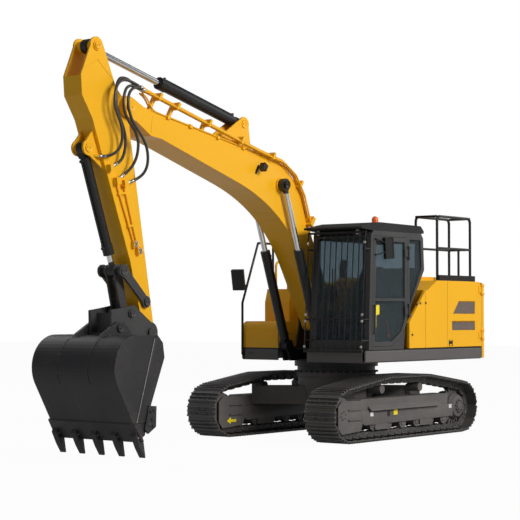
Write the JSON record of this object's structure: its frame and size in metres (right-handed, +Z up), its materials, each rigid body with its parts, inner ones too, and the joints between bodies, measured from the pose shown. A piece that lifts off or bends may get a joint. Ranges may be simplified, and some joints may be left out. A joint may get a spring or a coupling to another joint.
{
  "type": "crawler excavator",
  "caption": "Crawler excavator with a cranked boom, arm and toothed bucket on hydraulic cylinders, a slewing cab and engine house, and steel tracks.",
  "frame": {"origin": "on the ground under the middle of the overall length and width", "axes": "+X forward to the bucket, +Y to the cab's side, +Z up"},
  "size_m": [7.6227, 2.6602, 4.9507],
  "materials": {
    "yellow_paint": "glossy warm yellow paint",
    "grey_paint": "semi-gloss charcoal paint",
    "black_paint": "semi-gloss black paint",
    "track_steel": "dark worn steel",
    "bucket_steel": "satin black paint on plate",
    "chrome_rod": "polished chrome",
    "glass": "tinted clear",
    "hose_rubber": "black ribbed hose",
    "black_plastic": "matte",
    "amber": "glossy",
    "chair_cloth": "woven",
    "engine_metal": "cast"
  },
  "bodies": {
    "undercarriage": {"car_body": "grey_paint", "tie_lugs": "grey_paint", "track_frames": "grey_paint", "swing_ring_lower": "black_paint", "track_left": "track_steel", "track_right": "track_steel", "idlers": "grey_paint", "sprockets": "grey_paint", "final_drives": "grey_paint", "lower_rollers": "black_paint", "carrier_rollers": "black_paint"},
    "upper": {"platform": "black_paint", "swing_ring_upper": "black_paint", "side_skirts": "grey_paint", "counterweight": "yellow_paint", "engine_block": "engine_metal", "house_frame": "yellow_paint", "left_panels": "yellow_paint", "right_panels": "yellow_paint", "exhaust": "black_paint", "handrails": "black_paint", "fuel_tank": "yellow_paint", "tool_box": "yellow_paint", "right_mirror": "black_paint", "cab_frame": "grey_paint", "cab_glass": "glass", "cab_roof": "black_plastic", "front_guard": "black_paint", "operator_chair": "chair_cloth", "cab_controls": "black_plastic", "beacon": "amber"},
    "cab_door": {"cab_door": "grey_paint", "door_glass": "glass", "door_mirror": "black_plastic"},
    "left_door": {"left_door": "yellow_paint"},
    "right_door": {"right_door": "yellow_paint"},
    "engine_hood": {"engine_hood": "yellow_paint"},
    "boom": {"boom": "yellow_paint", "boom_pipes": "yellow_paint", "hose_1": "hose_rubber", "hose_2": "hose_rubber", "hose_3": "hose_rubber", "hose_4": "hose_rubber", "boom_lamp": "black_paint"},
    "boom_barrels": {"boom_cylinder_barrels": "black_paint"},
    "boom_rods": {"boom_cylinder_rods": "chrome_rod"},
    "arm": {"arm": "yellow_paint", "arm_pipes": "yellow_paint"},
    "arm_barrel": {"arm_cylinder_barrel": "black_paint"},
    "arm_rod": {"arm_cylinder_rod": "chrome_rod"},
    "bucket_barrel": {"bucket_cylinder_barrel": "black_paint"},
    "bucket_rod": {"bucket_cylinder_rod": "chrome_rod"},
    "rocker": {"rocker_links": "grey_paint"},
    "push_link": {"push_link": "grey_paint"},
    "bucket": {"coupler": "grey_paint", "bucket": "bucket_steel", "bucket_teeth": "bucket_steel", "side_cutters": "bucket_steel"}
  },
  "joints": [
    {"name": "swing", "type": "hinge", "parent": "undercarriage", "child": "upper", "pos_m": [-1.44219, 0, 0.96], "axis": [0, 0, 1], "continuous": true},
    {"name": "boom_lift", "type": "hinge", "parent": "upper", "child": "boom", "pos_m": [-1.10719, -0.07, 1.59], "axis": [0, -1, 0], "range_deg": [-74, 28]},
    {"name": "boom_barrel_tilt", "type": "hinge", "parent": "upper", "child": "boom_barrels", "pos_m": [-0.72819, -0.07, 1.25], "axis": [0, -1, 0], "range_deg": [-76.73, 29.1]},
    {"name": "boom_rod_slide", "type": "slide", "parent": "boom_barrels", "child": "boom_rods", "axis": [0.3453, 0, 0.9385], "range_m": [-0.598, 0.2269]},
    {"name": "arm_swing", "type": "hinge", "parent": "boom", "child": "arm", "pos_m": [3.04794, -0.07, 4.16629], "axis": [0, 1, 0], "range_deg": [-80, 14], "deforming": ["hose_1", "hose_2", "hose_3", "hose_4"]},
    {"name": "arm_barrel_tilt", "type": "hinge", "parent": "boom", "child": "arm_barrel", "pos_m": [0.69937, -0.07, 4.18912], "axis": [0, 1, 0], "range_deg": [-8.29, 1.53]},
    {"name": "arm_rod_slide", "type": "slide", "parent": "arm_barrel", "child": "arm_rod", "axis": [0.9746, 0, 0.2239], "range_m": [-1.0407, 0.1829]},
    {"name": "bucket_curl", "type": "hinge", "parent": "arm", "child": "bucket", "pos_m": [2.63926, -0.07, 1.46402], "axis": [0, 1, 0], "range_deg": [-12, 150]},
    {"name": "rocker_turn", "type": "hinge", "parent": "arm", "child": "rocker", "pos_m": [2.71175, -0.07, 1.83636], "axis": [0, 1, 0], "range_deg": [-8.96, 110.8]},
    {"name": "push_link_turn", "type": "hinge", "parent": "rocker", "child": "push_link", "pos_m": [3.11148, -0.07, 2.20574], "axis": [0, 1, 0], "range_deg": [-62.5, 5.09]},
    {"name": "bucket_barrel_tilt", "type": "hinge", "parent": "arm", "child": "bucket_barrel", "pos_m": [3.63957, -0.07, 3.63788], "axis": [0, 1, 0], "range_deg": [-2.9, 0.32]},
    {"name": "bucket_rod_slide", "type": "slide", "parent": "bucket_barrel", "child": "bucket_rod", "axis": [-0.346, 0, -0.9382], "range_m": [-0.0723, 0.8919]},
    {"name": "cab_door_hinge", "type": "hinge", "parent": "upper", "child": "cab_door", "pos_m": [-1.38319, 1.262, 2], "axis": [0, 0, 1], "range_deg": [0, 150]},
    {"name": "left_door_hinge", "type": "hinge", "parent": "upper", "child": "left_door", "pos_m": [-3.36119, 1.261, 1.7], "axis": [0, 0, 1], "range_deg": [0, 110]},
    {"name": "right_door_hinge", "type": "hinge", "parent": "upper", "child": "right_door", "pos_m": [-3.36119, -1.261, 1.7], "axis": [0, 0, -1], "range_deg": [0, 110]},
    {"name": "hood_hinge", "type": "hinge", "parent": "upper", "child": "engine_hood", "pos_m": [-2.38619, 0, 2.178], "axis": [0, 1, 0], "range_deg": [0, 55]}
  ],
  "couplings": [
    {"joint": "boom_barrel_tilt", "follows": "boom_lift", "ratio": 1.0356},
    {"joint": "boom_rod_slide", "follows": "boom_lift", "m_per_rad": 0.4622},
    {"joint": "arm_barrel_tilt", "follows": "arm_swing", "ratio": 0.1024},
    {"joint": "arm_rod_slide", "follows": "arm_swing", "m_per_rad": 0.7446},
    {"joint": "rocker_turn", "follows": "bucket_curl", "ratio": 0.738},
    {"joint": "push_link_turn", "follows": "bucket_curl", "ratio": -0.416},
    {"joint": "bucket_barrel_tilt", "follows": "bucket_curl", "ratio": -0.0187},
    {"joint": "bucket_rod_slide", "follows": "bucket_curl", "m_per_rad": 0.3403}
  ]
}
